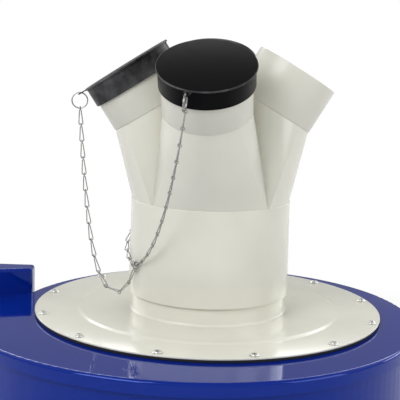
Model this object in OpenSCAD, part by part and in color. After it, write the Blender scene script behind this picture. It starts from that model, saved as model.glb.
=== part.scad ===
// Inlet head of a woodworking dust collector: a scroll fan housing whose round
// cover plate carries a slip-on manifold with four angled hose ports. Three
// ports are shut by press-on caps, each kept on a length of jack chain.
//
// The origin is on the fan's axis, in the plane that the housing stands on.
// +Z points up through the neck, and the front port points towards -Y.

/* [Fan housing] */
// Height of the housing from its floor to its lid
housing_h = 140; // [110:1:180]
// Radius of the lid over the first half turn of the scroll
scroll_r = 238; // [230:1:260]
// How far the scroll opens in its third quarter
scroll_step_side = 18; // [8:1:26]
// How far the scroll opens in its last quarter
scroll_step_front = 26; // [10:1:36]
// Offset of the scroll's first centre from the fan's axis
scroll_shift = [6, -12]; // [-20:1:20]
// How far the lid's edge stands out past the scroll's wall
lid_overhang = 5; // [3.5:0.5:8]
// Depth of the lip round the lid
lip_h = 15; // [10:1:25]
// Radius of the lid's rolled edge
lip_round = 4; // [2.5:0.5:6]
// Thickness of the housing's sheet steel
sheet = 2; // [1.5:0.5:3]
// Radius of the hole in the lid under the cover plate
access_r = 172; // [140:1:180]

/* [Outlet] */
// Width of the outlet duct
duct_w = 72; // [60:1:90]
// How far the duct's hood stands above the lid
hood_rise = 31; // [15:1:45]
// Height of the duct's floor above the ground
duct_floor = 24; // [20:1:40]
// Distance from the fan's axis back to the duct's open end
duct_end = 80; // [78:1:320]
// Place of the hood's front corner, back from the fan's axis
hood_front = 60; // [55:1:80]
// How much further forward the hood reaches at the outer wall
hood_slant = 22; // [0:1:40]

/* [Motor mounting] */
// Diameter of the motor's pilot bore
pilot_d = 114.6; // [90:0.1:140]
// Diameter of the motor's bolt circle
motor_pcd = 149.2; // [145:0.1:180]
// Diameter of the motor's bolt holes
motor_hole = 10.5; // [8:0.5:13]
// Diameter of the motor plate
motor_plate_d = 230; // [200:1:260]
// Thickness of the motor plate
motor_plate_t = 8; // [5:0.5:12]
// Width of the motor plate's flange that lies on the floor
motor_seat = 10; // [6:1:14]

/* [Cover plate] */
// Diameter of the cover plate
plate_d = 406; // [400:1:424]
// Thickness of the cover plate
plate_t = 2; // [1.5:0.5:4]
// Radius of the step pressed into the cover plate
step_r = 154; // [130:1:165]
// Height of the pressed step
step_h = 1.5; // [0.8:0.1:3]
// Thickness of the gasket
gasket_t = 3; // [2:0.5:5]
// Number of screws round the cover plate
screw_count = 12; // [6:1:16]
// Angle of the first screw from the +X side
screw_turn = 15; // [0:1:29]
// Diameter of the screws' pitch circle
screw_pcd = 389; // [380:1:394]
// Diameter of the screw holes
screw_hole = 5.5; // [4.5:0.5:8]

/* [Neck and sleeve] */
// Outside diameter of the neck
neck_d = 180; // [160:1:190]
// Wall of the neck
neck_wall = 2; // [1.5:0.5:3]
// Radius of the fillet round the neck's root
root_r = 3; // [2:0.5:12]
// Height of the sleeve's lower edge above the cover plate
sleeve_z = 22; // [14:1:40]
// Length of the sleeve
sleeve_h = 110; // [80:1:150]
// Wall of the sleeve at its upper edge
sleeve_wall = 2; // [1.5:0.5:3]
// How much thicker the sleeve is at its lower edge
sleeve_draft = 1.2; // [0:0.1:2]
// Gap between parts that slip together
slip = 0.3; // [0.2:0.1:0.6]

/* [Ports] */
// Outside diameter of the hose ports
port_d = 100; // [90:1:104]
// Wall of the ports and branches
port_wall = 2; // [1.5:0.5:3]
// Length of the ports' collars
collar_h = 54.5; // [40:0.5:80]
// Distance from the axis to the foot of each collar: right, back, left, front
port_reach = [69, 74, 71, 79]; // [66:0.5:82]
// Height of each collar's foot above the sleeve: right, back, left, front
port_rise = [104, 105, 104, 110.5]; // [90:0.5:130]
// Tilt of each port away from upright: right, back, left, front
port_tilt = [31, 31, 33, 27]; // [24:0.5:36]
// How far each port is turned off its quarter: right, back, left, front
port_turn = [7.5, 2, 0, -4.5]; // [-10:0.5:10]
// Step between a branch and the collar or sleeve that it meets
seam_step = 0.8; // [0.4:0.1:1.5]

/* [Caps] */
// Radius by which the cap's rim stands out past the collar
cap_rim = 5; // [3.5:0.1:6]
// Wall of the cap's skirt
cap_wall = 2.7; // [1.5:0.1:3]
// Length of the cap's skirt
cap_skirt = 22; // [15:1:32]
// Thickness of the cap's top
cap_t = 2.4; // [1.6:0.1:4]
// Thickness of the cap's ear
ear_t = 1.2; // [1:0.1:1.4]
// Radius of the cap's ear round its hole
ear_r = 4; // [3.6:0.1:5]
// Radius of the hole in the ear
ear_hole = 2.5; // [2.4:0.1:2.8]
// How far the ear's hole lies outside the cap's rim
ear_out = 5.8; // [5:0.1:8]
// Where the ear sits round each cap: back, left, front
ear_turn = [45, 0, -15]; // [-60:1:60]

/* [Chains] */
// Radius of the split rings
ring_r = 9; // [8:0.5:12]
// Wire of the split rings
ring_wire = 1.4; // [1.2:0.1:1.8]
// How far each split ring is swung in its ear: back, left, front
ring_swing = [0, 0, 9]; // [-20:1:20]
// Pitch of the chain's links
link_pitch = 19.3; // [14:0.5:26]
// Wire of the chain's links
link_wire = 1.3; // [1:0.1:1.6]
// Radius of a link's wide end
link_loop = 2.3; // [2:0.1:3]
// Radius of a link's small eye
link_eye = 2; // [1.9:0.1:2.4]
// Radius of the bend at a link's narrow end
link_narrow = 0.95; // [0.8:0.05:1.2]
// Room round the wire on which each link hangs
link_room = 0.25; // [0.2:0.05:0.4]
// Room between the back chain's links and the sleeve
wrap_room = 1; // [0.6:0.1:2]
// Number of links in each chain: back, left, front
link_count = [15, 14, 12]; // [8:1:16]
// Direction of the chain stud round the sleeve
stud_turn = 209; // [200:1:225]
// Height of the chain stud above the cover plate
stud_z = 61; // [45:1:90]

/* [Hidden] */
$fn = 96;

housing_blue = [0.05, 0.08, 0.36];
cream = [0.86, 0.85, 0.80];
cap_black = [0.07, 0.07, 0.07];
zinc = [0.62, 0.62, 0.60];

// The scroll is laid out as a fan maker does, with arcs from centres that step round
// the axis. Each entry is [centre, lid radius, first angle, last angle].
centre_rear = scroll_shift;
centre_side = centre_rear - [scroll_step_side, 0];
centre_front = centre_side + [0, scroll_step_front];
radius_side = scroll_r + scroll_step_side;
radius_front = radius_side + scroll_step_front;
// Outer face of the straight wall that runs to the outlet
duct_x = centre_front.x - radius_front + lid_overhang;
duct_inner_x = duct_x + duct_w;
wall_rear_r = scroll_r - lid_overhang;
// Angle at which the rear arc's wall meets the duct's inner wall
cutoff_turn = acos((duct_inner_x - sheet - centre_rear.x) / wall_rear_r);
cutoff_y = centre_rear.y + wall_rear_r * sin(cutoff_turn);
ARCS = [[centre_rear, scroll_r, 0, cutoff_turn],
        [centre_side, radius_side, -90, 0],
        [centre_front, radius_front, -180, -90]];

lid_z = housing_h - sheet;
duct_top = housing_h + hood_rise;
plate_z = housing_h + gasket_t;
plate_top = plate_z + plate_t;
raised_top = plate_top + step_h;

neck_r = neck_d / 2;
neck_bore = neck_r - neck_wall;
sleeve_bore = neck_r + slip;
sleeve_r = sleeve_bore + sleeve_wall;
sleeve_foot = plate_top + sleeve_z;
sleeve_top = sleeve_foot + sleeve_h;
branch_r = sleeve_r - seam_step;

port_r = port_d / 2;
port_bore = port_r - port_wall;
branch_top_r = port_r - seam_step;
mouth_t = 1;

// Ports in the order right, back, left, front
function quarter_turn(k) = 90 * k;
function turn_of(k) = quarter_turn(k) + port_turn[k];
function ear_of(k) = ear_turn[k - 1];
function swing_of(k) = ear_of(k) + ring_swing[k - 1];
function foot_of(k) = [port_reach[k] * cos(turn_of(k)), port_reach[k] * sin(turn_of(k)), sleeve_top + port_rise[k]];
function axis_of(k) = [sin(port_tilt[k]) * cos(turn_of(k)), sin(port_tilt[k]) * sin(turn_of(k)), cos(port_tilt[k])];

cap_bore = port_r + slip;
cap_r = port_r + cap_rim;
cap_base = collar_h + slip - cap_skirt;
ear_z = collar_h + slip + cap_t / 2;
ear_x = cap_r + ear_out;
// The split ring crosses the ear's plane in the hole and again outside the ear
ring_drop = 0.72 * ring_r;
ring_out = sqrt(ring_r * ring_r - ring_drop * ring_drop);

wire = link_wire / 2;

module port_frame(k) {
    translate(foot_of(k)) rotate([0, port_tilt[k], turn_of(k)]) children();
}

// Plan of the scroll, out to a distance past the lid's edge
module scroll_plan(grow) {
    reach = 2 * radius_front;
    intersection() {
        translate(centre_rear) circle(scroll_r + grow, $fn = 180);
        translate([-reach, centre_rear.y]) square([2 * reach, reach]);
    }
    intersection() {
        translate(centre_side) circle(radius_side + grow, $fn = 180);
        translate([centre_side.x, centre_side.y - reach]) square(reach);
    }
    intersection() {
        translate(centre_front) circle(radius_front + grow, $fn = 180);
        translate([centre_front.x - reach, centre_front.y - reach]) square(reach);
    }
    translate([centre_front.x - radius_front - grow, centre_front.y - 1])
        square([duct_w, hood_front + 1 - centre_front.y]);
}

// The outlet duct's footprint, whose front runs slantwise under the hood
module duct_plan(inset) {
    polygon([[duct_x + inset, hood_front - hood_slant + inset],
             [duct_inner_x - inset, hood_front + inset],
             [duct_inner_x - inset, duct_end + inset],
             [duct_x + inset, duct_end + inset]]);
}

// A profile swept along the scroll's arcs, with its x measured from the lid's edge
module along_scroll(straight_end) {
    for (arc = ARCS)
        translate(arc[0]) rotate(arc[2])
            rotate_extrude(angle = arc[3] - arc[2], $fn = 180)
                translate([arc[1], 0]) children();
    translate([centre_front.x - radius_front, centre_front.y, 0])
        rotate([90, 0, 180]) linear_extrude(straight_end - centre_front.y) children();
}

module floor_plate() {
    color(housing_blue) difference() {
        linear_extrude(sheet) scroll_plan(-lid_overhang);
        translate([0, 0, -1]) cylinder(r = motor_plate_d / 2 - motor_seat + slip, h = sheet + 2);
        translate([duct_x - 1, hood_front, -1]) cube([duct_w + 2, duct_end, sheet + 2]);
    }
}

module motor_plate() {
    color(housing_blue) difference() {
        union() {
            cylinder(d = motor_plate_d - 2 * motor_seat, h = motor_plate_t);
            translate([0, 0, sheet]) cylinder(d = motor_plate_d, h = motor_plate_t - sheet);
        }
        translate([0, 0, -1]) cylinder(d = pilot_d, h = motor_plate_t + 2);
        for (turn = [45 : 90 : 315]) rotate(turn)
            translate([motor_pcd / 2, 0, -1]) cylinder(d = motor_hole, h = motor_plate_t + 2, $fn = 32);
    }
}

module scroll_wall() {
    color(housing_blue) {
        along_scroll(hood_front - hood_slant)
            translate([-lid_overhang - sheet, sheet]) square([sheet, lid_z - sheet]);
        // The tongue joins the rear arc to the duct's inner wall
        translate([duct_inner_x - sheet, cutoff_y - sheet, sheet])
            cube([sheet, hood_front - hood_slant * sheet / duct_w - cutoff_y + sheet, lid_z - sheet]);
    }
}

// The sill closes the scroll below the duct's mouth
module outlet_sill() {
    color(housing_blue) translate([duct_x, 0, sheet]) linear_extrude(duct_floor - sheet) difference() {
        translate([0, hood_front - hood_slant]) square([duct_w - sheet, hood_slant]);
        translate([sheet, hood_front - hood_slant - sheet]) square([duct_w, hood_slant]);
    }
}

module lid() {
    color(housing_blue) difference() {
        union() {
            translate([0, 0, lid_z]) linear_extrude(sheet) scroll_plan(-lip_round);
            translate([0, 0, housing_h]) along_scroll(hood_front - hood_slant) lip_profile();
        }
        translate([0, 0, lid_z - 1]) cylinder(r = access_r, h = sheet + 2, $fn = 180);
        screw_holes(lid_z, sheet);
        translate([0, 0, housing_h - lip_h - 1]) linear_extrude(lip_h + 2) duct_plan(0);
        // The lip ends where the rear arc runs in under the lid
        translate([duct_x, centre_front.y, housing_h - lip_h - 1])
            cube([duct_w, hood_front - centre_front.y, lip_h + 1 - sheet]);
        translate([duct_x - 2 * lid_overhang, hood_front - hood_slant, housing_h - lip_h - 1])
            cube([2 * lid_overhang, duct_end, lip_h + 2]);
    }
}

// Section through the lid's rolled edge and its lip
module lip_profile() {
    translate([-sheet, -lip_h]) square([sheet, lip_h - lip_round]);
    translate([-lip_round - sheet, -sheet]) square([sheet, sheet]);
    intersection() {
        translate([-lip_round, -lip_round]) difference() {
            circle(lip_round, $fn = 48);
            circle(lip_round - sheet, $fn = 48);
        }
        translate([-lip_round, -lip_round]) square(lip_round);
    }
}

module outlet_duct() {
    color(housing_blue) difference() {
        translate([0, 0, duct_floor]) linear_extrude(duct_top - duct_floor) duct_plan(0);
        translate([0, 0, duct_floor + sheet]) linear_extrude(duct_top - duct_floor - 2 * sheet) duct_plan(sheet);
        // The mouth towards the scroll reaches up to the underside of the lid
        translate([duct_x + sheet, 0, duct_floor + sheet])
            cube([duct_w - 2 * sheet, hood_front + 2 * sheet, lid_z - duct_floor - sheet]);
        translate([duct_x - 1, duct_end, 0]) cube([duct_w + 2, 2 * sheet, 2 * duct_top]);
    }
}

module screw_holes(z, h) {
    for (i = [0 : screw_count - 1]) rotate(screw_turn + i * 360 / screw_count)
        translate([screw_pcd / 2, 0, z - 1]) cylinder(d = screw_hole, h = h + 2, $fn = 32);
}

module gasket() {
    color(cap_black) difference() {
        translate([0, 0, housing_h]) cylinder(d = plate_d - 1, h = gasket_t, $fn = 180);
        translate([0, 0, housing_h - 1]) cylinder(r = access_r + 2, h = gasket_t + 2, $fn = 180);
        screw_holes(housing_h, gasket_t);
    }
}

module cover_plate() {
    slope = 2 * step_h;
    color(cream) difference() {
        translate([0, 0, plate_z]) rotate_extrude($fn = 180) polygon([
            [neck_bore, step_h], [step_r - slope, step_h], [step_r, 0], [plate_d / 2, 0],
            [plate_d / 2, plate_t], [step_r, plate_t], [step_r - slope, plate_t + step_h],
            [neck_bore, plate_t + step_h]]);
        screw_holes(plate_z, plate_t);
    }
}

// The neck is welded to the plate with a smooth fillet round its root
module neck() {
    height = sleeve_top - slip - raised_top;
    color(cream) translate([0, 0, raised_top]) rotate_extrude($fn = 180) {
        translate([neck_bore, 0]) square([neck_wall, height]);
        difference() {
            translate([neck_r, 0]) square(root_r);
            translate([neck_r + root_r, root_r]) circle(root_r, $fn = 64);
        }
    }
}

module sleeve() {
    color(cream) difference() {
        translate([0, 0, sleeve_foot])
            cylinder(r1 = sleeve_r + sleeve_draft, r2 = sleeve_r, h = sleeve_h, $fn = 180);
        translate([0, 0, sleeve_foot - 1]) cylinder(r = sleeve_bore, h = sleeve_h + 2, $fn = 180);
    }
}

// A quarter of the sleeve's circle, drawn in from its two straight sides
module quarter(r, inset) {
    intersection() {
        circle(r, $fn = 96);
        translate([inset * sqrt(2), 0]) rotate(-45) square(2 * r);
    }
}

// Each branch changes from a quarter of the sleeve to the round foot of its collar
module branch(k) {
    color(cream) difference() {
        hull() {
            translate([0, 0, sleeve_top]) rotate(quarter_turn(k)) linear_extrude(mouth_t)
                quarter(branch_r, slip / 2);
            port_frame(k) translate([0, 0, -mouth_t]) cylinder(r = branch_top_r, h = mouth_t, $fn = 72);
        }
        hull() {
            translate([0, 0, sleeve_top - 0.5]) rotate(quarter_turn(k)) linear_extrude(mouth_t)
                quarter(branch_r - port_wall, slip / 2 + port_wall);
            port_frame(k) translate([0, 0, -mouth_t + 0.5])
                cylinder(r = branch_top_r - port_wall, h = mouth_t, $fn = 72);
        }
    }
}

module collar(k) {
    color(cream) port_frame(k) difference() {
        cylinder(r = port_r, h = collar_h);
        translate([0, 0, -1]) cylinder(r = port_bore, h = collar_h + 2);
    }
}

module cap(k) {
    color(cap_black) port_frame(k) difference() {
        union() {
            translate([0, 0, cap_base]) cylinder(r = cap_bore + cap_wall, h = cap_skirt);
            translate([0, 0, collar_h + slip]) cylinder(r = cap_r, h = cap_t);
            rotate(ear_of(k)) translate([0, 0, ear_z - ear_t / 2]) {
                translate([ear_x, 0, 0]) cylinder(r = ear_r, h = ear_t, $fn = 32);
                translate([cap_r - 3, -ear_r, 0]) cube([ear_x - cap_r + 3, 2 * ear_r, ear_t]);
            }
        }
        translate([0, 0, cap_base - 1]) cylinder(r = cap_bore, h = cap_skirt + 1);
        rotate(ear_of(k)) translate([ear_x, 0, ear_z - ear_t]) cylinder(r = ear_hole, h = 2 * ear_t, $fn = 32);
    }
}

// Two coils of wire side by side, as a split ring has
module split_ring(k) {
    color(zinc) port_frame(k) rotate(ear_of(k)) translate([ear_x, 0, ear_z - ring_drop])
        rotate(ring_swing[k - 1]) translate([ring_out, 0, 0]) rotate([90, 0, 0]) rotate_extrude($fn = 64) translate([ring_r, 0])
            for (side = [-1, 1]) translate([0, side * ring_wire / 4]) circle(ring_wire / 2, $fn = 24);
}

// A split ring's centre, the level direction in its plane, and its lowest point
function out_dir(k, turn) =
    let (out = [cos(port_tilt[k]) * cos(turn_of(k)), cos(port_tilt[k]) * sin(turn_of(k)), -sin(port_tilt[k])])
    out * cos(turn) + cross(axis_of(k), out) * sin(turn);
function ring_centre(k) = foot_of(k) + axis_of(k) * (ear_z - ring_drop)
    + out_dir(k, ear_of(k)) * ear_x + out_dir(k, swing_of(k)) * ring_out;
function ring_level(k) =
    let (a = axis_of(k), dir = out_dir(k, swing_of(k)), flat = dir * a.z - a * dir.z) flat / norm(flat);
function ring_low(k) =
    ring_centre(k) - ring_r * cross(ring_level(k), cross(axis_of(k), out_dir(k, swing_of(k))));

// A chain of equal links that hangs between two points: each link is steeper than the
// one before by the same amount. The slope is level at link "low", and "pull" flattens
// it. The last link reaches past its point, so that its wide end goes round the ring.
function steps(count, past, low, pull) =
    [for (i = [0 : count - 1]) let (slope = (i - low) / pull, reach = link_pitch - (i == count - 1 ? past : 0))
        [reach, reach * slope] / sqrt(1 + slope * slope)];
function total(list) = [for (i = list) 1] * list;
function find_low(count, past, pull, drop, a, b, tries) =
    let (mid = (a + b) / 2) tries == 0 ? mid :
    total(steps(count, past, mid, pull)).y > drop ? find_low(count, past, pull, drop, mid, b, tries - 1)
                                                  : find_low(count, past, pull, drop, a, mid, tries - 1);
function find_pull(count, past, span, drop, a, b, tries) =
    let (mid = (a + b) / 2, low = find_low(count, past, mid, drop, -20 * count, 20 * count, 30))
    tries == 0 ? [low, mid] :
    total(steps(count, past, low, mid)).x < span ? find_pull(count, past, span, drop, mid, b, tries - 1)
                                                 : find_pull(count, past, span, drop, a, mid, tries - 1);
function hang(p, q, count, past) =
    let (flat = [q.x - p.x, q.y - p.y], way = flat / norm(flat),
         fit = find_pull(count, past, norm(flat), q.z - p.z, 0, 10 * count, 30),
         links = steps(count, past, fit[0], fit[1]))
    [for (i = 0, at = [0, 0]; i <= count; at = at + (i < count ? links[i] : at), i = i + 1)
        p + [way.x * at.x, way.y * at.x, at.y]];

module wire_arc(r, turn) {
    rotate_extrude(angle = turn, $fn = 48) translate([r, 0]) circle(wire, $fn = 24);
}

// One link of jack chain: a long loop with a small eye turned across its narrow end.
// The eye is centred on the wire of the link above, with room all round it.
module link() {
    low_z = -link_pitch + link_loop;
    high_z = -link_eye - link_narrow + link_room;
    span = high_z - low_z;
    lean = asin((link_loop - link_narrow) / span);
    leg = sqrt(span * span - pow(link_loop - link_narrow, 2));
    leg_lap = 0.1;
    translate([0, 0, low_z]) rotate([90, 0, 0]) rotate(180 - lean) wire_arc(link_loop, 180 + 2 * lean);
    translate([0, 0, high_z]) rotate([90, 0, 0]) rotate(lean) wire_arc(link_narrow, 180 - 2 * lean);
    for (side = [-1, 1])
        translate([0, 0, low_z]) rotate([0, -side * lean, 0]) translate([side * link_loop, 0, -leg_lap])
            cylinder(r = wire - 0.03, h = leg + 2 * leg_lap, $fn = 24);
    rotate([0, 90, 0]) rotate_extrude($fn = 48) translate([link_eye, 0]) circle(wire - 0.05, $fn = 24);
}

// Links strung along the points, turning from one facing direction to another
module chain(points, face_a, face_b) {
    last = len(points) - 2;
    color(zinc) for (i = [0 : last]) {
        down = (points[i + 1] - points[i]) / norm(points[i + 1] - points[i]);
        face = face_a * (last - i) / last + face_b * i / last;
        side = face - down * (face * down);
        x = side / norm(side);
        z = -down;
        y = cross(z, x);
        p = points[i];
        multmatrix([[x.x, y.x, z.x, p.x], [x.y, y.y, z.y, p.y], [x.z, y.z, z.z, p.z], [0, 0, 0, 1]]) link();
    }
}

// The stud on the sleeve, and the ring that hangs from it and takes the chains' ends
stud_r = 1.6;
stud_len = 5.5;
stud_head_r = 3.2;
keep_r = 5.5;
keep_wire = 0.9;
keep_off = 3.3;
stud_seat = sleeve_r + sleeve_draft * (1 - (stud_z - sleeve_z) / sleeve_h);
stud_out = [cos(stud_turn), sin(stud_turn), 0];
stud_side = [-sin(stud_turn), cos(stud_turn), 0];
// The left chain's last links face square to the plane in which the chain hangs
left_face = [cos(stud_turn + 14), sin(stud_turn + 14), 0];
front_face = [cos(stud_turn + 15), sin(stud_turn + 15), 0];
// Where round the ring each chain ends: back, left, front
keep_turn = [190, 250, 15];
keep_centre = stud_out * (stud_seat + keep_off)
    + [0, 0, plate_top + stud_z - (keep_r - keep_wire - stud_r - slip)];
function keep_point(turn) = keep_centre + (stud_side * cos(turn) + [0, 0, sin(turn)]) * keep_r;

module chain_stud() {
    color(zinc) translate([0, 0, plate_top + stud_z]) rotate([0, 90, stud_turn])
        translate([0, 0, stud_seat + slip / 3]) {
            cylinder(r = stud_r, h = stud_len, $fn = 32);
            translate([0, 0, stud_len]) cylinder(r1 = stud_head_r, r2 = stud_head_r - 1, h = 1.2, $fn = 32);
        }
}

module chain_ring() {
    color(zinc) translate(keep_centre) rotate([0, 90, stud_turn])
        rotate_extrude($fn = 48) translate([keep_r, 0]) circle(keep_wire, $fn = 24);
}

// A chain starts at the foot of its split ring and ends on the ring at the stud
function front_chain_points() =
    hang(ring_low(3), keep_point(keep_turn[2]), link_count[2], link_loop);
function left_chain_points() =
    hang(ring_low(2), keep_point(keep_turn[1]), link_count[1], link_loop);
// The back chain hangs free and then comes round the sleeve's side in its last links
wrap_r = stud_seat + link_eye + wire + wrap_room;
wrap_rise = [3, 9, 16, 24, 33];
function round_sleeve(p, z, reach) =
    let (r0 = norm([p.x, p.y]), dz = z - p.z,
         turn = atan2(p.y, p.x) - acos((r0 * r0 + wrap_r * wrap_r + dz * dz - reach * reach) / (2 * r0 * wrap_r)))
    [wrap_r * cos(turn), wrap_r * sin(turn), z];
function wrap(p, i) =
    let (next = round_sleeve(p, keep_centre.z + wrap_rise[i], link_pitch - (i == 0 ? link_loop : 0)))
    i == len(wrap_rise) - 1 ? [next, p] : concat(wrap(next, i + 1), [p]);
function back_chain_points() =
    let (round = wrap(keep_point(keep_turn[0]), 0))
    concat(hang(ring_low(1), round[0], link_count[0] - len(wrap_rise), 0),
           [for (i = [1 : len(round) - 1]) round[i]]);

floor_plate();
motor_plate();
scroll_wall();
lid();
outlet_sill();
outlet_duct();
gasket();
cover_plate();
neck();
sleeve();
branch(0);  // branch_right
branch(1);  // branch_back
branch(2);  // branch_left
branch(3);  // branch_front
collar(0);  // collar_right
collar(1);  // collar_back
collar(2);  // collar_left
collar(3);  // collar_front
cap(1);  // cap_back
cap(2);  // cap_left
cap(3);  // cap_front
split_ring(1);  // split_ring_back
split_ring(2);  // split_ring_left
split_ring(3);  // split_ring_front
chain(back_chain_points(), ring_level(1), stud_out);  // chain_back
chain(left_chain_points(), ring_level(2), left_face);  // chain_left
chain(front_chain_points(), ring_level(3), front_face);  // chain_front
chain_stud();
chain_ring();
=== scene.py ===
# %% [markdown]
# # The inlet head of a woodworking dust collector
# This part is the top of a fan: a blue scroll-shaped housing, a cream cover plate, and a
# manifold with four hose ports. Three ports wear black caps that hang on jack chain.
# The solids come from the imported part. This lesson dresses them: it turns, spins and
# hulls each visible piece again with finer edges, and gives every surface its finish.
# The part's sizes are in millimetres, and MM turns them into Blender's metres. The
# camera, floor and lamps stand in metres.

# %% Load the part
import math

import bmesh
import bpy
import numpy as np
from mathutils import Matrix, Vector


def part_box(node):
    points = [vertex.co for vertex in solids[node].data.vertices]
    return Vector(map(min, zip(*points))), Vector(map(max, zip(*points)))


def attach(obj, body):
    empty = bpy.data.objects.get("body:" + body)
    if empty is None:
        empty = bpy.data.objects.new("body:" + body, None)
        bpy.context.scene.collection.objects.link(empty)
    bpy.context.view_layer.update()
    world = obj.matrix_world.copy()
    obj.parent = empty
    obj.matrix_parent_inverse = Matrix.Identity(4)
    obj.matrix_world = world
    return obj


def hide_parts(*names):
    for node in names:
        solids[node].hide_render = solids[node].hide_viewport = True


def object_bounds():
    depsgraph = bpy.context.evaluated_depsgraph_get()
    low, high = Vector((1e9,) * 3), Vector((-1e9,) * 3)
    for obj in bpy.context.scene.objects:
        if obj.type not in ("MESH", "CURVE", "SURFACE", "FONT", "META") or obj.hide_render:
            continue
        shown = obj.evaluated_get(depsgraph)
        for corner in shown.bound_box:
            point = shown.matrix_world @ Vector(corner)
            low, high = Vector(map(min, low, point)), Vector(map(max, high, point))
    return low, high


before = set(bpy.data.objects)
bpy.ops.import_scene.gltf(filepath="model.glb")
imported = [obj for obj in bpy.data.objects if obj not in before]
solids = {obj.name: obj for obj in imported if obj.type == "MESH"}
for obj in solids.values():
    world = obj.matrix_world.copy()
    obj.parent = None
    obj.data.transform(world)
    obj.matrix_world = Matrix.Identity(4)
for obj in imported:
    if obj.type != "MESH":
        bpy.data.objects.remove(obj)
cad_box = [list(corner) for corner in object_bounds()]
MM = 0.001
print("solids:", len(solids), "box:", cad_box)

# %% [markdown]
# ## The camera
# Round rims stay nearly even ellipses when a tall piece is seen from well back, through a
# long lens. A Track To constraint could aim the camera, but it leaves no way to roll it.
# So the camera gets a matrix of three directions: to its right, up, and back. Its turn
# and tip give the direction ahead, and the other two then roll a little about that.


# %% Place the camera
def add_object(name, data):
    """Put data, such as a mesh, a camera or a lamp, into the scene."""
    thing = bpy.data.objects.new(name, data)
    bpy.context.scene.collection.objects.link(thing)
    return thing


camera_place = Vector((0.0, -1.4127, 0.5255))
turn, tip, roll = math.radians(-0.5), math.radians(10.11), math.radians(1.63)
ahead = Vector((math.sin(turn) * math.cos(tip), math.cos(turn) * math.cos(tip), -math.sin(tip)))
level = ahead.cross(Vector((0, 0, 1))).normalized()
above = level.cross(ahead)
right = math.cos(roll) * level + math.sin(roll) * above
up = -math.sin(roll) * level + math.cos(roll) * above
facing = Matrix((right, up, -ahead)).transposed().to_4x4()
camera = add_object("camera", bpy.data.cameras.new("camera"))
camera.data.lens = 110.55
camera.matrix_world = Matrix.Translation(camera_place) @ facing
bpy.context.scene.camera = camera
print("camera looks along", tuple(round(v, 3) for v in ahead))

# %% [markdown]
# ## A small helper for finishes
# A finish is a shader: a graph of nodes. The nodes could be wired one by one, but then a
# plain sum takes several lines. `Value` wraps an output socket, so that `1 - mask` or
# `noise * 0.2` adds a Math node by itself, and the sums read like sums. `Finish.node`
# adds any other node from its type, its settings and what goes into its sockets.


# %% Write shader sums as Python sums
class Value:
    """An output socket that can be added, taken away and multiplied."""

    def __init__(self, finish, socket):
        self.finish, self.socket = finish, socket

    def sum(self, operation, first, second):
        return self.finish.node("ShaderNodeMath", {"operation": operation}, {0: first, 1: second})

    def __add__(self, other):
        return self.sum("ADD", self, other)

    def __sub__(self, other):
        return self.sum("SUBTRACT", self, other)

    def __mul__(self, other):
        return self.sum("MULTIPLY", self, other)

    def __rsub__(self, other):
        return self.sum("SUBTRACT", other, self)

    __radd__, __rmul__ = __add__, __mul__


class Finish:
    """A material, or the world, and the one way in which its nodes are made."""

    def __init__(self, name, world=None):
        self.material = world or bpy.data.materials.new(name)
        self.material.use_nodes = True
        self.tree = self.material.node_tree
        self.tree.nodes.clear()

    def node(self, kind, settings=None, inputs=None, output=0):
        made = self.tree.nodes.new(kind)
        for name, value in (settings or {}).items():
            if name == "stops":
                for stop in value[2:]:
                    made.color_ramp.elements.new(stop[0])
                for element, (place, shade) in zip(made.color_ramp.elements, value):
                    element.position, element.color = place, (shade, shade, shade, 1)
            else:
                setattr(made, name, value)
        for name, value in (inputs or {}).items():
            socket = made.inputs[name]
            if isinstance(value, Value):
                self.tree.links.new(value.socket, socket)
            else:
                socket.default_value = value
        return Value(self, made.outputs[output])

    def place(self):
        """Where a point lies on the object, in metres."""
        return self.node("ShaderNodeTexCoord", output="Object")

    def noise(self, size, detail=2.0, rough=0.5):
        """Cloudy noise whose patches are about `size` millimetres across."""
        return self.node("ShaderNodeTexNoise", {}, {
            "Vector": self.place(), "Scale": 1 / (size * MM), "Detail": detail, "Roughness": rough}, "Fac")

    def ramp(self, value, *stops):
        """A value turned into another one by stops of (value, result)."""
        return self.node("ShaderNodeValToRGB", {"stops": stops}, {0: value})

    def blend(self, mask, first, second):
        """One colour turning into another where the mask is bright."""
        return self.node("ShaderNodeMix", {"data_type": "RGBA"}, {
            "Factor": mask, 6: (*first, 1), 7: (*second, 1)}, 2)

    def mixed(self, mask, first, second):
        """One shader turning into another where the mask is bright."""
        return self.node("ShaderNodeMixShader", {}, {0: mask, 1: first, 2: second}, "Shader")

    def bump(self, height, depth, strength=1.0):
        """A surface that seems to rise by `depth` millimetres where the height is 1."""
        return self.node("ShaderNodeBump", {}, {
            "Height": height, "Distance": depth * MM, "Strength": strength})

    def ray(self, kind):
        """1 for rays of one kind, such as those straight from the camera."""
        return self.node("ShaderNodeLightPath", output="Is " + kind + " Ray")

    def principled(self, **sockets):
        """The main shader, where an underscore stands for a space in a socket's name."""
        names = {key.replace("_", " "): value for key, value in sockets.items()}
        return self.node("ShaderNodeBsdfPrincipled", {}, names, "BSDF")

    def show(self, shader, kind="ShaderNodeOutputMaterial"):
        """End the graph with a shader, and give back the finished material."""
        out = self.tree.nodes.new(kind)
        self.tree.links.new(shader.socket, out.inputs["Surface"])
        return self.material


def screen(red, green, blue):
    """A colour as a screen shows it, from 0 to 255, turned into the light it stands for."""
    def light(shown):
        return ((shown / 255 + 0.055) / 1.055) ** 2.4 if shown > 10 else shown / 255 / 12.92

    return tuple(light(shown) for shown in (red, green, blue))


print("a screen's middle grey is", round(screen(128, 128, 128)[0], 3), "of full light")

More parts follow.
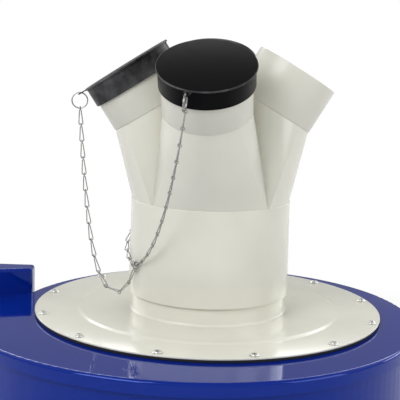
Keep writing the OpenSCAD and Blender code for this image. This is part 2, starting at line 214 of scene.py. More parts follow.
# %% [markdown]
# ## The enamels
# The paints are baked-on powder coat. Such a coat is not quite flat: it dries with a
# faint orange-peel wave a few millimetres across. A Coat layer over a rough base could
# show that, but one shiny layer with a very shallow Bump looks the same and is simpler.
# Wider noise shifts the colour by a hair, and another one makes some areas a bit duller
# than others, as hands and cloths do. Deep blue paint also tints what mirrors in it,
# which Specular Tint gives. The collars have the manifold's cream in a duller coat,
# because hoses rub them, and a shade darker as painted shade, since they tilt away from the light.


# %% Mix the three enamels
def enamel(name, colour, dull, worn, peel, mirror=(1, 1, 1), level=0.5):
    """Powder coat: dull is its lowest roughness, worn what wiping adds, peel its wave's depth."""
    paint = Finish(name)
    cloud = paint.ramp(paint.noise(90, 3.0), (0.35, 0.0), (0.65, 1.0))
    tint = paint.blend(cloud, colour, tuple(v * 0.93 for v in colour))
    wiped = paint.noise(50, 4.0, 0.6)
    skin = paint.bump(paint.noise(3.5, 1.0) + paint.noise(0.7, 2.0) * 0.15, peel)
    return paint.show(paint.principled(
        Base_Color=tint, Roughness=wiped * worn + dull, Normal=skin,
        Specular_IOR_Level=level, Specular_Tint=(*mirror, 1)))


blue_enamel = enamel("blue_enamel", screen(3, 34, 130), dull=0.03, worn=0.05, peel=0.01,
                     mirror=(0.28, 0.4, 1.0), level=0.72)
cream_enamel = enamel("cream_enamel", screen(224, 223, 211), dull=0.12, worn=0.12, peel=0.03)
# The collars' cream is duller, and a shade darker as painted shade.
collar_enamel = enamel("collar_enamel", screen(217, 216, 205), dull=0.26, worn=0.12, peel=0.03)
print("enamels:", blue_enamel.name, cream_enamel.name, collar_enamel.name)

# %% [markdown]
# ## Plastic and rubber
# The caps are soft black plastic with a fine moulded grain. Grey is painted on their
# rims as a painted highlight, and on the left cap's skirt as a painted sheen. Noise alone
# could place it, but these lights sit at an edge and on one side. So each cap carries an
# attribute that says where the painted highlight goes, and noise only breaks that up. The gasket is dull foam
# rubber.

# %% Mix the dark finishes
plastic = Finish("cap_plastic")
pores_a_metre = 900.0
pores = plastic.node("ShaderNodeTexVoronoi", {}, {
    "Vector": plastic.place(), "Scale": pores_a_metre}, "Distance")
patchy = plastic.noise(30, 4.0, 0.6)
scuffed = plastic.node("ShaderNodeAttribute", {"attribute_name": "scuffed"}, {}, "Fac")
# Painted highlight and sheen: grey where the attribute says, broken up by noise, with a faint random tone
# everywhere.
sheen_mask = scuffed * (patchy * 3.0 - 0.9) + patchy * 0.03
cap_plastic = plastic.show(plastic.principled(
    Base_Color=plastic.blend(sheen_mask, screen(11, 11, 11), screen(94, 94, 96)),
    Roughness=patchy * 0.14 + 0.24, Specular_IOR_Level=0.06,
    Normal=plastic.bump(pores + plastic.noise(2) * 0.6, 0.08, 0.6)))

rubber = Finish("gasket_rubber")
gasket_rubber = rubber.show(rubber.principled(
    Base_Color=rubber.blend(rubber.noise(20), screen(18, 18, 19), screen(27, 27, 28)),
    Roughness=0.85, Normal=rubber.bump(rubber.noise(1), 0.1, 0.5)))
print("dark finishes:", cap_plastic.name, gasket_rubber.name)

# %% [markdown]
# ## Zinc
# Rings, chain and screws are steel under bright zinc plate. A mirror-like metal would
# look like chrome, so noise breaks up both the shine and the tone where the plating is
# cloudy. Chain is handled and dulls, so its zinc is greyer than that of the screws.


# %% Mix the bright finishes
def zinc(name, bright, dim, dull):
    """Zinc plate between two tones, with the roughness of its shiniest places."""
    plating = Finish(name)
    cloudy = plating.noise(4, 3.0, 0.6)
    return plating.show(plating.principled(
        Base_Color=plating.blend(cloudy, bright, dim), Metallic=1.0, Roughness=cloudy * 0.25 + dull,
        Normal=plating.bump(plating.noise(0.8), 0.02, 0.5)))


wire_zinc = zinc("wire_zinc", screen(192, 192, 189), screen(152, 152, 150), dull=0.16)
screw_zinc = zinc("screw_zinc", screen(228, 228, 224), screen(196, 196, 192), dull=0.22)
print("bright finishes:", wire_zinc.name, screw_zinc.name)

# %% [markdown]
# ## Ways to make a piece
# Each form is worked in a bmesh, which is a mesh on the bench: it can be cut and bent
# before it becomes an object. At the end its doubled points are welded, its faces are
# turned outwards, and edges that meet at more than a set angle are marked sharp. So
# rolled sheet looks smooth and a fold stays crisp.


# %% Finish and place a piece
def turned_by(degrees, axis="Z"):
    """A matrix that turns about an axis through the origin."""
    return Matrix.Rotation(math.radians(degrees), 4, axis)


def put(bm, matrix, verts=None):
    """Move a form, or only some of its points, with a matrix."""
    bmesh.ops.transform(bm, matrix=matrix, verts=verts or bm.verts)


def only(kind, geom):
    """The points, edges or faces out of what an operator gives back."""
    return [item for item in geom if isinstance(item, kind)]


def settle(name, bm, paint, replaced=(), sharp=32):
    """Close a bmesh into an object that rides with the part."""
    bmesh.ops.remove_doubles(bm, verts=bm.verts, dist=0.002 * MM)
    bmesh.ops.recalc_face_normals(bm, faces=bm.faces)
    mesh = bpy.data.meshes.new(name)
    bm.to_mesh(mesh)
    bm.free()
    mesh.shade_smooth()
    mesh.set_sharp_from_angle(angle=math.radians(sharp))
    mesh.materials.append(paint)
    piece = add_object(name, mesh)
    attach(piece, "root")
    if replaced:
        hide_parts(*replaced)
    print(name, "triangles:", sum(len(p.vertices) - 2 for p in mesh.polygons))
    return piece


print("a quarter turn is", round(turned_by(90).to_euler().z, 4), "radians")

# %% [markdown]
# ## Turning, pulling and cutting
# Most pieces here are turned. A profile is drawn as a closed loop of points, a vertex
# bevel rounds its corners, and one spin about the axis makes the whole ring. The same
# ring could be made from a cylinder by insets and scaling, but a profile keeps each
# radius and height in plain sight. A flat outline is pulled up into a block instead,
# and a Boolean modifier cuts one form with another or welds the two.


# %% Turn a profile, pull up a plan and cut a form
def turned(bm, profile, rounds=0.0, steps=144):
    """Spin a closed profile of (radius, height) points in millimetres about the Z axis."""
    verts = [bm.verts.new((r * MM, 0, z * MM)) for r, z in profile]
    # An edge that lies on the axis would spin into nothing, so it is left open.
    for i in range(len(verts)):
        if profile[i - 1][0] > 0 or profile[i][0] > 0:
            bm.edges.new((verts[i - 1], verts[i]))
    if rounds:
        corners = [v for v, (r, z) in zip(verts, profile) if r > 0]
        bmesh.ops.bevel(bm, geom=corners, offset=rounds * MM, segments=3,
                        affect="VERTICES", profile=0.5, material=-1)
    outline = [e for e in bm.edges if e.is_wire]
    bmesh.ops.spin(bm, geom=outline, cent=(0, 0, 0), axis=(0, 0, 1), dvec=(0, 0, 0),
                   angle=2 * math.pi, steps=steps, use_merge=True, use_duplicate=False)
    return bm


def prism(plan, low, high):
    """A plan of (x, y) points pulled up from one height to another."""
    bm = bmesh.new()
    face = bm.faces.new([bm.verts.new((x * MM, y * MM, low * MM)) for x, y in plan])
    lifted = bmesh.ops.extrude_face_region(bm, geom=[face])["geom"]
    bmesh.ops.translate(bm, vec=(0, 0, (high - low) * MM), verts=only(bmesh.types.BMVert, lifted))
    return bm


def combined(bm, tool, operation="DIFFERENCE"):
    """Cut one bmesh with another, or weld them, through a Boolean modifier."""
    pair = []
    for form in (bm, tool):
        bmesh.ops.recalc_face_normals(form, faces=form.faces)
        blank = bpy.data.meshes.new("blank")
        form.to_mesh(blank)
        form.free()
        pair.append(add_object("blank", blank))
    cut = pair[0].modifiers.new("cut", "BOOLEAN")
    cut.operation, cut.solver, cut.object = operation, "EXACT", pair[1]
    seen = pair[0].evaluated_get(bpy.context.evaluated_depsgraph_get())
    shaped = bpy.data.meshes.new_from_object(seen)
    result = bmesh.new()
    result.from_mesh(shaped)
    # Removing a mesh takes its object along.
    for mesh in (pair[0].data, pair[1].data, shaped):
        bpy.data.meshes.remove(mesh)
    return result


trial = turned(bmesh.new(), [(1, 0), (2, 0), (2, 1), (1, 1)])
print("a square profile turns into", len(trial.faces), "faces")
trial.free()

# %% [markdown]
# ## The housing
# The scroll wall, lid and plates are folded and rolled sheet steel. Their solids already
# have the right shape, so each is copied and its loose triangles are merged. Modelling
# them again would only bring new errors. Weighted Normal lets the large faces win where
# flat sheet runs into a rolled edge, so that the flat lid mirrors the room without a dent.


# %% Dress the sheet-steel housing in blue enamel
def evened(piece):
    """Shade a piece by its large faces."""
    piece.modifiers.new("even", "WEIGHTED_NORMAL").keep_sharp = True


for node in ("floor_plate", "motor_plate", "scroll_wall", "lid", "outlet_sill"):
    sheet_metal = bmesh.new()
    sheet_metal.from_mesh(solids[node].data)
    evened(settle(node + "_skin", sheet_metal, blue_enamel, (node,)))

# %% [markdown]
# ## The outlet's hood
# The duct is a folded box, and a press brake leaves a round fold a few millimetres wide.
# A Bevel modifier would round the inner edges too, by the same radius as the outer ones.
# So a solid block is beveled along the edges of its outer faces first. Then the inside
# and the mouth towards the fan are cut out of it.

# %% Fold the outlet duct
duct_low, duct_high = (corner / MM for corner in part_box("outlet_duct"))
# The sheet's thickness, how far the front slants, and a fold's outer radius.
sheet, slant, fold_r = 2.0, 22.0, 4.0
under_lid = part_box("scroll_wall")[1].z / MM


def duct_plan(inset):
    """The duct from above, whose front face slants back towards the fan."""
    left, right = duct_low.x + inset, duct_high.x - inset
    front, end = duct_low.y + inset, duct_high.y + inset
    return [(left, front), (right, front + slant), (right, end), (left, end)]


duct = prism(duct_plan(0), duct_low.z, duct_high.z)
open_end = duct_high.y * MM
folds = [e for e in duct.edges if any(v.co.y < open_end - 0.01 * MM for v in e.verts)]
bmesh.ops.bevel(duct, geom=folds, offset=fold_r * MM, segments=5, affect="EDGES", profile=0.5)
duct = combined(duct, prism(duct_plan(sheet), duct_low.z + sheet, duct_high.z - sheet))
mouth_left, mouth_right = duct_low.x + sheet, duct_high.x - sheet
mouth_end = duct_low.y + slant + 2 * sheet
mouth = [(mouth_left, 0), (mouth_right, 0), (mouth_right, mouth_end), (mouth_left, mouth_end)]
duct = combined(duct, prism(mouth, duct_low.z + sheet, under_lid))
evened(settle("outlet_duct_skin", duct, blue_enamel, ("outlet_duct",)))

# %% [markdown]
# ## Gasket and cover plate
# A foam ring lies under the cover plate and shows as a black line round it. The plate
# itself is pressed sheet: a wide ring with a shallow step up to the middle. Both are
# turned from a profile, which leaves even rings of faces for the light to run along. The
# vertex bevel rolls the plate's edge over, and that catches a thin bright line of light.

# %% Turn the gasket and the plate
plate_low, plate_high = (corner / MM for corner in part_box("cover_plate"))
gasket_low, gasket_high = (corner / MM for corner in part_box("gasket"))
gasket_r, gasket_wide = gasket_high.x, 28.0
gasket_bore = gasket_r - gasket_wide
foam = turned(bmesh.new(), [
    (gasket_bore, gasket_low.z), (gasket_r, gasket_low.z),
    (gasket_r, gasket_high.z), (gasket_bore, gasket_high.z)], rounds=0.6, steps=180)
settle("gasket_ring", foam, gasket_rubber, ("gasket",))

plate_r, plate_foot, step_top = plate_high.x, plate_low.z, plate_high.z
plate_top = plate_foot + sheet
neck_bore = 88.0
step_rise, step_r, step_slope = 1.5, 154.0, 4.0
pressed = turned(bmesh.new(), [
    (neck_bore, plate_foot + step_rise), (step_r - step_slope, plate_foot + step_rise),
    (step_r, plate_foot), (plate_r, plate_foot), (plate_r, plate_top), (step_r, plate_top),
    (step_r - step_slope, step_top), (neck_bore, step_top)], rounds=0.7, steps=240)
settle("cover_plate_skin", pressed, cream_enamel, ("cover_plate",))

# %% [markdown]
# ## Neck and sleeve
# The neck is a tube welded to the plate, and paint fills its root to a soft curve. The
# manifold's sleeve slips over it and stops short of the plate. Its upper edge stands a
# little proud of the branches. Both could be plain cylinders, but a turned profile takes
# the root's curve and the sleeve's slight draft, and its beveled edges catch the light.

# %% Turn the neck and the sleeve
neck_low, neck_high = (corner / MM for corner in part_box("neck"))
neck_r, root, root_steps = 90.0, 3.0, 10
root_curve = []
for step in range(root_steps + 1):
    way = math.radians(90 / root_steps * step)
    root_curve.append((neck_r + root - root * math.sin(way), neck_low.z + root - root * math.cos(way)))
tube = turned(bmesh.new(), [
    (neck_bore, neck_low.z), *root_curve, (neck_r, neck_high.z), (neck_bore, neck_high.z)], steps=180)
settle("neck_skin", tube, cream_enamel, ("neck",), sharp=40)

sleeve_foot, sleeve_top = (corner.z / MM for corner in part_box("sleeve"))
sleeve_bore, sleeve_r, draft = 90.3, 92.3, 1.2
jacket = turned(bmesh.new(), [
    (sleeve_bore, sleeve_foot), (sleeve_r + draft, sleeve_foot),
    (sleeve_r, sleeve_top), (sleeve_bore, sleeve_top)], rounds=0.6, steps=180)
settle("sleeve_skin", jacket, cream_enamel, ("sleeve",))
print("sleeve stands", round(sleeve_foot - plate_top, 1), "mm above the plate")

# %% [markdown]
# ## The four branches
# Each branch is rolled from sheet so that it turns from a quarter of the sleeve into a
# round foot for its collar. A loft between the two outlines would need matching points
# on both. Straight lines on the sheet join them here, which is the surface that a convex
# hull of both outlines gives, so the hull does the matching. Its two end caps are
# deleted, and Solidify then gives the open shell its wall.

# %% Place the ports and hull the branches
port_r, collar_len, wall = 50.0, 54.5, 2.0
# A branch ends a little inside the sleeve's and the collar's outsides, and clear of its neighbours.
seam, quarter_gap = 0.8, 0.15
# Each port's turn round the sleeve and tilt in degrees, and its reach and rise.
ports = {"right": (7.5, 31, 69.0, 104.0), "back": (92, 31, 74.0, 105.0),
         "left": (180, 33, 71.0, 104.0), "front": (265.5, 27, 79.0, 110.5)}
quarters = {"right": 0, "back": 90, "left": 180, "front": 270}


def port_place(side):
    """The matrix of a port's own frame: its origin at the collar's foot, its Z outwards."""
    turn, tilt, reach, rise = ports[side]
    way = math.radians(turn)
    foot = Vector((reach * math.cos(way), reach * math.sin(way), sleeve_top + rise)) * MM
    return Matrix.Translation(foot) @ turned_by(turn) @ turned_by(tilt, "Y")


def branch(side):
    """The shell between a quarter of the sleeve's top and the port's round foot."""
    shell = bmesh.new()
    base_r = (sleeve_r - seam) * MM
    corner = quarter_gap * MM * math.sqrt(2)
    half = math.radians(45) - math.asin(quarter_gap * MM / base_r)
    shell.verts.new((corner, 0, sleeve_top * MM))
    start = shell.verts.new((base_r * math.cos(half), -base_r * math.sin(half), sleeve_top * MM))
    bmesh.ops.spin(shell, geom=[start], cent=(0, 0, 0), axis=(0, 0, 1), dvec=(0, 0, 0),
                   angle=2 * half, steps=36, use_merge=False, use_duplicate=False)
    put(shell, turned_by(quarters[side]))
    place = port_place(side)
    bmesh.ops.create_circle(shell, cap_ends=False, segments=144, radius=(port_r - seam) * MM, matrix=place)
    bmesh.ops.convex_hull(shell, input=shell.verts, use_existing_faces=False)
    # The hull is closed, so the faces that lie flat over its two ends are taken off.
    foot, out = place.translation, place.to_3x3() @ Vector((0, 0, 1))
    close = 0.001 * MM
    ends = [f for f in shell.faces if all(abs(v.co.z - sleeve_top * MM) < close for v in f.verts)
            or all(abs((v.co - foot).dot(out)) < close for v in f.verts)]
    bmesh.ops.delete(shell, geom=ends, context="FACES_ONLY")
    bmesh.ops.recalc_face_normals(shell, faces=shell.faces)
    bmesh.ops.solidify(shell, geom=shell.faces, thickness=wall * MM)
    return shell


for side in ports:
    node = "branch_" + side
    settle(node + "_skin", branch(side), cream_enamel, (node,), sharp=25)

# %% [markdown]
# ## Collars
# A collar is the plain tube that a hose pushes over. It could be an open cylinder with a
# Solidify modifier, but the turned profile has its rounded edges in it already: the cut
# edge of the sheet is covered by a thick film of paint. It is turned about Z and then
# moved to each port's frame, so its place ends up in its mesh.

# %% Turn a collar for each port
for side in ports:
    node = "collar_" + side
    tube = turned(bmesh.new(), [
        (port_r - wall, 0), (port_r, 0), (port_r, collar_len), (port_r - wall, collar_len)], rounds=0.5)
    put(tube, port_place(side))
    settle(node + "_skin", tube, collar_enamel, (node,))

# %% [markdown]
# ## Press-on caps
# A cap is moulded in one piece: a disc whose rim stands out past a short skirt, and an
# ear at the rim with a hole for its ring. The disc and skirt are turned. The ear could
# be extruded from a drawn outline, but the convex hull of two circles and two tabs finds
# its tangent lines by itself. It is drilled and welded on with a Boolean. Then each
# point is told how much painted highlight it gets: fully on the rim, where the rounded
# edge would catch a line of light, and less on the left cap's skirt, as a painted sheen.

# %% Mould the caps
ear_turns = {"back": 45, "left": 0, "front": -15}
# The room round a collar, then the cap's disc, rim and skirt, and then its ear.
slip = 0.3
disc_thick, cap_r, cap_wall, skirt = 2.4, 55.0, 2.7, 22.0
ear_r, ear_hole, ear_thick, ear_x, ear_root = 4.0, 2.5, 1.2, 60.8, 3.0
disc_foot = collar_len + slip
ear_z = disc_foot + disc_thick / 2


def cap_form():
    """The disc and its skirt, standing on a port's own frame."""
    bore, outside = port_r + slip, port_r + slip + cap_wall
    top, hem = disc_foot + disc_thick, disc_foot - skirt
    return turned(bmesh.new(), [
        (0, top), (cap_r, top), (cap_r, disc_foot), (outside, disc_foot),
        (outside, hem), (bore, hem), (bore, disc_foot), (0, disc_foot)], rounds=1.1, steps=160)


def ear_form():
    """The ear with its hole, where it points along X."""
    ear = bmesh.new()
    for z in (ear_z - ear_thick / 2, ear_z + ear_thick / 2):
        middle = Matrix.Translation(Vector((ear_x, 0, z)) * MM)
        bmesh.ops.create_circle(ear, segments=40, radius=ear_r * MM, matrix=middle)
        for y in (-ear_r, ear_r):
            ear.verts.new(Vector((cap_r - ear_root, y, z)) * MM)
    bmesh.ops.convex_hull(ear, input=ear.verts)
    low, high = ear_z - 4 * ear_thick, ear_z + 4 * ear_thick
    drill = turned(bmesh.new(), [(0, low), (ear_hole, low), (ear_hole, high), (0, high)], steps=40)
    put(drill, Matrix.Translation((ear_x * MM, 0, 0)))
    return combined(ear, drill)


def paint_sheen(cap, side):
    """Store on each point how much painted highlight or sheen it gets."""
    layer = cap.verts.layers.float.new("scuffed")
    for v in cap.verts:
        out = math.hypot(v.co.x, v.co.y) / MM
        on_rim = cap_r - 0.8 < out < cap_r + 0.1
        on_skirt = v.co.z < disc_foot * MM and out > port_r + 1.5
        if on_rim:
            v[layer] = 1.0
        elif on_skirt and side == "left":
            v[layer] = 0.7


for side in ear_turns:
    node = "cap_" + side
    ear = ear_form()
    put(ear, turned_by(ear_turns[side]))
    cap = combined(cap_form(), ear, "UNION")
    # Mark where grey is painted as highlight on the rim and as sheen on the left skirt.
    paint_sheen(cap, side)
    put(cap, port_place(side))
    settle(node + "_skin", cap, cap_plastic, (node,), sharp=28)

# %% [markdown]
# ## Split rings
# A split ring is a key ring: wire wound twice, with its two turns lying side by side. A
# curve with a bevel could follow the coil, but spin does it in one step: a small ellipse
# goes round nearly two turns, and a little rise at each step winds it up by the wire's
# own width over a turn.

# %% Wind a split ring on each ear
ring_r, wire_wide, wire_deep = 9.0, 1.4, 1.0
wound, coil_steps, steps_a_turn = 2 * 350, 186, 96
# How many degrees each ring has swung round in its ear.
swing = {"back": 0, "left": 0, "front": 9}


def wind_ring():
    """A double coil of flat wire about Z, with its middle at the origin."""
    ring = bmesh.new()
    section = bmesh.ops.create_circle(ring, cap_ends=True, segments=14, radius=0.5)["verts"]
    bmesh.ops.scale(ring, vec=(wire_wide * MM, wire_deep * MM, 1), verts=section)
    put(ring, turned_by(90, "X"))
    put(ring, Matrix.Translation((ring_r * MM, 0, -wire_deep * MM / 2)))
    bmesh.ops.spin(ring, geom=ring.verts[:] + ring.edges[:] + ring.faces[:], cent=(0, 0, 0),
                   axis=(0, 0, 1), dvec=(0, 0, wire_deep * MM / steps_a_turn),
                   angle=math.radians(wound), steps=coil_steps)
    return ring


for side in ear_turns:
    node = "split_ring_" + side
    ring = wind_ring()
    low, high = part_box(node)
    port_way = port_place(side).to_3x3().to_4x4()
    stand = port_way @ turned_by(ear_turns[side] + swing[side]) @ turned_by(90, "X")
    put(ring, Matrix.Translation((low + high) / 2) @ stand)
    settle(node + "_coil", ring, wire_zinc, (node,), sharp=60)

# %% [markdown]
# ## One link of jack chain
# Each link is bent from one wire: a long loop, pinched at its top, and a small eye there
# turned across it. The next link's eye hooks round the loop's wide end. A beveled curve
# would twist at its ends and has to be made a mesh anyway, so the wire is worked as on a
# bench: its section is pulled along each straight and spun round each bend.

# %% Bend one link of wire
link_pitch, loop_r, pinch_r, eye_r, wire_r = 19.3, 2.3, 0.95, 2.0, 0.65
# The eye's wire is a hair thinner and runs into the loop's, so that both read as one.
eye_wire_r, overlap = wire_r - 0.05, 0.25


def bend(link, ends, centre, degrees, steps):
    """Spin the wire's open end round a bend, and give back its new end."""
    made = bmesh.ops.spin(link, geom=ends, cent=Vector(centre) * MM, axis=(0, 1, 0), dvec=(0, 0, 0),
                          angle=math.radians(degrees), steps=steps)["geom_last"]
    return only(bmesh.types.BMEdge, made)


def pull(link, ends, way):
    """Pull the wire's open end along a straight, and give back its new end."""
    made = bmesh.ops.extrude_edge_only(link, edges=ends)["geom"]
    bmesh.ops.translate(link, vec=Vector(way) * MM, verts=only(bmesh.types.BMVert, made))
    return [e for e in only(bmesh.types.BMEdge, made) if all(v in made for v in e.verts)]


def bend_loop(link):
    """The long loop: up one side, round the pinched top, down, and round the wide end."""
    low, high = -link_pitch + loop_r, -eye_r - pinch_r + overlap
    # The straights lean inwards, because the pinched end is the narrower one.
    lean = math.asin((loop_r - pinch_r) / (high - low))
    slope = math.degrees(lean)
    section = bmesh.ops.create_circle(link, segments=12, radius=wire_r * MM)["verts"]
    put(link, turned_by(-slope, "Y"))
    start = Vector((math.cos(lean), 0, math.sin(lean))) * loop_r + Vector((0, 0, low))
    bmesh.ops.translate(link, vec=start * MM, verts=section)
    straight = math.sqrt((high - low) ** 2 - (loop_r - pinch_r) ** 2)
    side = Vector((-math.sin(lean), 0, math.cos(lean))) * straight
    ends = pull(link, link.edges[:], side)
    ends = bend(link, ends, (0, 0, high), -(180 - 2 * slope), 16)
    ends = pull(link, ends, (side.x, 0, -side.z))
    bend(link, ends, (0, 0, low), -(180 + 2 * slope), 24)
    bmesh.ops.remove_doubles(link, verts=link.verts, dist=0.02 * MM)


def bend_eye(link):
    """The eye: a small ring across the loop, with its centre at the origin."""
    eye = bmesh.ops.create_circle(link, segments=12, radius=eye_wire_r * MM)["verts"]
    bmesh.ops.translate(link, vec=(0, eye_r * MM, 0), verts=eye)
    bmesh.ops.spin(link, geom=list({e for v in eye for e in v.link_edges}), cent=(0, 0, 0), axis=(1, 0, 0),
                   dvec=(0, 0, 0), angle=2 * math.pi, steps=36, use_merge=True)


link = bmesh.new()
bend_loop(link)
bend_eye(link)
bmesh.ops.recalc_face_normals(link, faces=link.faces)
one_link = bpy.data.meshes.new("wire_link")
link.to_mesh(one_link)
link.free()
print("one link has", len(one_link.vertices), "points")

# %% [markdown]
# ## Where each link hangs
# The wire link has to be copied to every link of the solid chain. Its places could be
# kept as a table, but the solid chain knows them already. It is split into its separate
# links. Each link's long axis is where its points spread most, and its wide end is the
# end where they spread further sideways. The direction of that spread is the loop's own
# plane. A small NumPy tool, the singular value decomposition, finds both directions.


# %% Find the solid links
# How much of a link's end is looked at.
tip_long = 4.2


def islands(bm):
    """The separate pieces of a merged mesh, each as an array of its points."""
    left = set(bm.verts)
    for seed in bm.verts:
        if seed not in left:
            continue
        left.remove(seed)
        border, found = [seed], []
        while border:
            v = border.pop()
            found.append(v.co[:])
            for other in (e.other_vert(v) for e in v.link_edges):
                if other in left:
                    left.remove(other)
                    border.append(other)
        yield np.array(found)


def widest(points):
    """The direction in which points spread most."""
    return np.linalg.svd(points - points.mean(0), full_matrices=False)[2][0]


def link_place(points):
    """Where one solid link lies: its eye's centre, and its own X, Y and Z."""
    middle = (points.max(0) + points.min(0)) / 2
    long_way = widest(points)
    ends = []
    for sign in (1, -1):
        along = (points - middle) @ long_way * sign
        tip = points[along > along.max() - tip_long * MM] - middle
        flat = tip - np.outer(tip @ long_way, long_way)
        across = widest(flat)
        ends.append((np.ptp(flat @ across), sign, across, along.max()))
    eye_end, wide_end = sorted(ends, key=lambda end: end[0])
    # Z points from the wide end to the eye, and X lies in the loop's plane.
    z = Vector(long_way * eye_end[1])
    x = Vector(wide_end[2])
    x = (x - z * x.dot(z)).normalized()
    centre = Vector(middle) + z * (eye_end[3] - (eye_r + eye_wire_r) * MM)
    return Matrix.Translation(centre) @ Matrix((x, z.cross(x), z)).transposed().to_4x4()


def link_places(node):
    """The places of all links in one solid chain."""
    solid = bmesh.new()
    solid.from_mesh(solids[node].data)
    bmesh.ops.remove_doubles(solid, verts=solid.verts, dist=0.005 * MM)
    places = [link_place(points) for points in islands(solid)]
    solid.free()
    return places


chains = {side: link_places("chain_" + side) for side in ear_turns}
print("links:", {side: len(places) for side, places in chains.items()})

# %% [markdown]
# ## The chains
# Each cap's chain keeps it from being lost, and each link hangs in the one above it.
# Instances of one object would be the lightest way to repeat a link, but a chain has to
# be one mesh here. So the link's mesh is added to the chain's and moved into place.


# %% Hook the links together
def add_copy(bm, mesh, place):
    """Add a mesh to a form, set in place."""
    before = len(bm.verts)
    bm.from_mesh(mesh)
    bm.verts.ensure_lookup_table()
    put(bm, place, bm.verts[before:])


for side, places in chains.items():
    node = "chain_" + side
    chain = bmesh.new()
    for place in places:
        add_copy(chain, one_link, place)
    settle(node + "_links", chain, wire_zinc, (node,), sharp=50)

# %% [markdown]
# ## The stud and its ring
# All three chains end on one wire ring, which hangs on a short stud welded to the
# sleeve's side. The stud's head is wider so that the ring can't slip off. A torus would
# do for the ring, and a spun circle is the same thing with its wire's size in sight. The
# stud is turned upright, tipped over, and set on the sloping sleeve at its own height.

# %% Turn the stud and the ring on it
stud_way, stud_z, stud_gap = 209, plate_top + 61, 0.1
sleeve_slope = draft / (sleeve_top - sleeve_foot)
stud_foot = sleeve_r + sleeve_slope * (sleeve_top - stud_z) + stud_gap
lying = turned_by(stud_way) @ turned_by(90, "Y")
stud = turned(bmesh.new(), [
    (0, 0), (1.6, 0), (1.6, 5.5), (3.2, 5.5), (2.2, 6.7), (0, 6.7)], rounds=0.4, steps=40)
put(stud, Matrix.Translation((0, 0, stud_z * MM)) @ lying @ Matrix.Translation((0, 0, stud_foot * MM)))
settle("chain_stud_turned", stud, wire_zinc, ("chain_stud",))

hoop_r, hoop_wire_r = 5.5, 0.9
hoop = bmesh.new()
bmesh.ops.create_circle(hoop, segments=14, radius=hoop_wire_r * MM)
put(hoop, Matrix.Translation((hoop_r * MM, 0, 0)) @ turned_by(90, "X"))
bmesh.ops.spin(hoop, geom=hoop.edges[:], cent=(0, 0, 0), axis=(0, 0, 1), dvec=(0, 0, 0),
               angle=2 * math.pi, steps=64, use_merge=True)
low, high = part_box("chain_ring")
put(hoop, Matrix.Translation((low + high) / 2) @ lying)
settle("chain_ring_hoop", hoop, wire_zinc, ("chain_ring",), sharp=60)

# %% [markdown]
# ## Screws round the cover plate
# Twelve flange-head screws with cross recesses clamp the plate. An inset could draw the
# cross, but only on a head whose faces run along it. So the head is turned, and a cross
# of two thin bars is cut out of it. Copies then stand round the plate, each turned a
# different way, because nobody stops a driver at the same angle twice.

# %% Turn a screw and set twelve
screw_circle_r, screw_count = 194.5, 12
# The first screw's place on the circle, and how much further each next cross is turned.
first_turn, driver_turn = 15, 37
screw = turned(bmesh.new(), [
    (0, 0.05), (5.8, 0.05), (5.8, 0.7), (4.5, 1.0), (4.2, 1.8), (3.0, 2.6), (0, 2.8)],
    rounds=0.25, steps=32)
recess_long, recess_wide, recess_tall, recess_z = 5.4, 1.3, 3.8, 2.9
bar_size = Matrix.Diagonal((recess_long * MM, recess_wide * MM, recess_tall * MM, 1))
for way in (0, 90):
    bar = bmesh.new()
    bmesh.ops.create_cube(bar, size=1, matrix=turned_by(way) @ bar_size)
    put(bar, Matrix.Translation((0, 0, recess_z * MM)))
    screw = combined(screw, bar)
one_screw = bpy.data.meshes.new("screw_head")
screw.to_mesh(one_screw)
screw.free()

heads = bmesh.new()
seat = Matrix.Translation((screw_circle_r * MM, 0, plate_top * MM))
for i in range(screw_count):
    round_plate = turned_by(first_turn + 360 / screw_count * i)
    driven = turned_by(driver_turn * i % 90)
    add_copy(heads, one_screw, round_plate @ seat @ driven)
settle("cover_screws", heads, screw_zinc, (), sharp=30)

# %% [markdown]
# ## The floor
# The floor only has to look white and keep the part's shadow. More light would whiten
# it, but would bleach the part as well. So the floor's own colour is pale, and rays that
# come straight from the camera, through glass or off a shiny surface see it glow white
# further away from the part. Is Camera Ray and its sisters tell those rays apart.

# %% Lay the floor
bpy.context.scene.view_settings.view_transform = "Standard"
ground = bmesh.new()
bmesh.ops.create_grid(ground, x_segments=1, y_segments=1, size=12)
ground_mesh = bpy.data.meshes.new("floor")
ground.to_mesh(ground_mesh)
ground.free()
floor = add_object("floor", ground_mesh)
pale = Finish("pale_floor")
matt = pale.principled(Base_Color=(*screen(218, 218, 218), 1), Roughness=0.9)
glow = pale.node("ShaderNodeEmission", {}, {"Color": (1, 1, 1, 1), "Strength": 1.0}, "Emission")
# A ramp reads values up to 1, so it gets half the distance in metres.
away = pale.node("ShaderNodeVectorMath", {"operation": "LENGTH"}, {0: pale.place()}, "Value") * 0.5
far = pale.ramp(away, (0.17, 0.0), (0.38, 1.0))
farther = pale.ramp(away, (0.6, 0.0), (1.0, 0.5))
seen_far = (pale.ray("Camera") + pale.ray("Transmission")) * far
floor.data.materials.append(pale.show(pale.mixed(seen_far + pale.ray("Glossy") * farther, matt, glow)))
print(floor.name, "is", round(floor.dimensions.x), "m wide")

# %% [markdown]
# ## The room
# The room is white to the camera. What lights the part and mirrors in it has to vary,
# because a shiny lid in an even white room looks like paper. So the room is dim low
# down, with a bright band above it and a dim ceiling. An environment image could do
# that, and a ramp over the height of the view direction needs none.

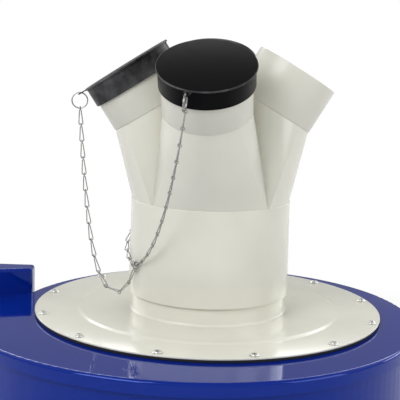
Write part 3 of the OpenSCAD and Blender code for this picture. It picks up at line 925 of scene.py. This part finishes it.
# %% Paint the room
bpy.context.scene.world = bpy.data.worlds.new("room")
room = Finish("room", bpy.context.scene.world)
# The height is the Z of the direction in which a ray looks: 0 is level, and 1 straight up.
height = room.node("ShaderNodeSeparateXYZ", {}, {0: room.node("ShaderNodeTexCoord", output="Generated")}, "Z")
dim, bright, white = (
    room.node("ShaderNodeBackground", {}, {"Color": (1, 1, 1, 1), "Strength": strength}, "Background")
    for strength in (0.34, 0.98, 1.0))
band = room.ramp(height, (0.36, 0.0), (0.5, 1.0), (0.7, 0.4), (0.9, 0.1))
near_floor = room.ramp(height, (0.02, 0.5), (0.08, 0.0))
seen_white = room.ray("Camera") + room.ray("Transmission") + room.ray("Glossy") * near_floor
room.show(room.mixed(seen_white, room.mixed(band, dim, bright), white), "ShaderNodeOutputWorld")
print("the room's nodes:", len(room.tree.nodes))

# %% [markdown]
# ## The lamps
# One broad soft lamp from the upper left shapes the tubes, and a weaker one from the
# right fills their shadows. Three long strips stand behind the part, where they draw
# thin bright lines along rims and folds. Sun lamps would do for the shadows, but only an
# area lamp has a face that shows in a shiny coat.


# %% Hang the lamps
def lamp(name, place, wide, tall, power):
    """A soft lamp, its size in metres and its power in watts, that faces the part."""
    light = add_object(name, bpy.data.lights.new(name, "AREA"))
    light.data.shape = "RECTANGLE"
    light.data.size, light.data.size_y, light.data.energy = wide, tall, power
    light.location = place
    aim = Vector((0, 0, 0.2)) - Vector(place)
    light.rotation_euler = aim.to_track_quat("-Z", "Y").to_euler()
    print(name, "lamp:", power, "watts from", round(aim.length, 2), "m")


lamp("key", (-1.6, -1.9, 2.0), 1.6, 1.6, 44)
lamp("fill", (2.2, -1.2, 1.1), 1.4, 1.4, 18)
lamp("back strip", (0, 2.2, 1.6), 2.8, 0.4, 14)
lamp("left strip", (-1.9, 1.5, 0.9), 2.0, 0.4, 14)
lamp("right strip", (1.9, 1.5, 0.9), 2.0, 0.4, 14)

# %% [markdown]
# ## The last step
# The pieces have to stay inside the solids' box, so its far corner is printed. The
# pieces have to stay inside the solids' box, since other tools measure that one.

# %% Print how far the solids reach
print("solids reach", [round(v, 4) for v in cad_box[1]])
